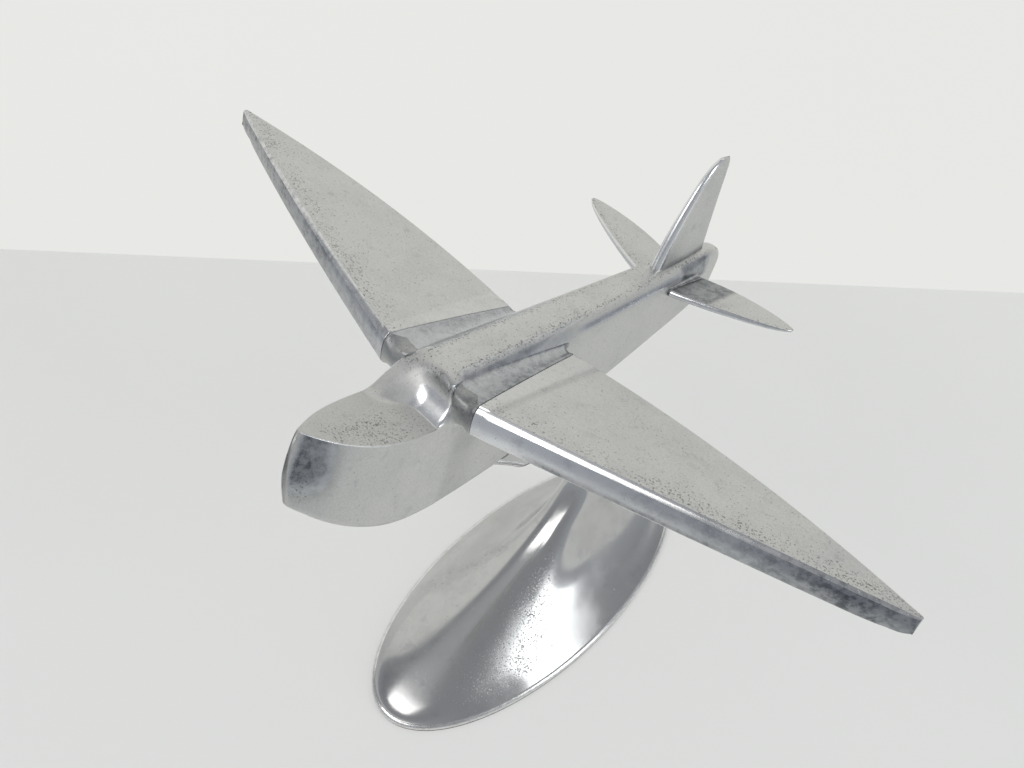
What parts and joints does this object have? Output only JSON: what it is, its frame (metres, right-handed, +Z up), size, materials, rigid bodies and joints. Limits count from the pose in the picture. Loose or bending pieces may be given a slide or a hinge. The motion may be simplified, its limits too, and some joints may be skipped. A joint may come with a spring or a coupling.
{
  "type": "desk model airplane",
  "caption": "Polished cast aluminium model airplane with swept wings, climbing nose-up on a curved stand with an oval felted foot.",
  "frame": {"origin": "centre of the oval foot's underside, on the table", "axes": "+Z up, nose towards -Y, port wing towards +X; the plane X=0 is the plane of symmetry"},
  "size_m": [0.34, 0.2344, 0.2399],
  "materials": {
    "fuselage_casting": "sand cast, satin on top, hand polished on the nose and sides",
    "wing_casting": "sand cast, pitted satin on top, polished leading edge",
    "tail_casting": "sand cast, satin, polished leading edge",
    "stand_casting": "hand polished to a streaky shine, fine pits",
    "rod_steel": "bright drawn rod",
    "felt": "dark pressed felt"
  },
  "bodies": {
    "root": {"fuselage": "fuselage_casting", "port_wing": "wing_casting", "starboard_wing": "wing_casting", "front_wing_rod": "rod_steel", "rear_wing_rod": "rod_steel", "fin": "tail_casting", "fin_pins": "rod_steel", "port_tailplane": "tail_casting", "starboard_tailplane": "tail_casting", "tailplane_rod": "rod_steel", "stand": "stand_casting", "stand_pins": "rod_steel", "felt_pad": "felt"}
  },
  "joints": []
}
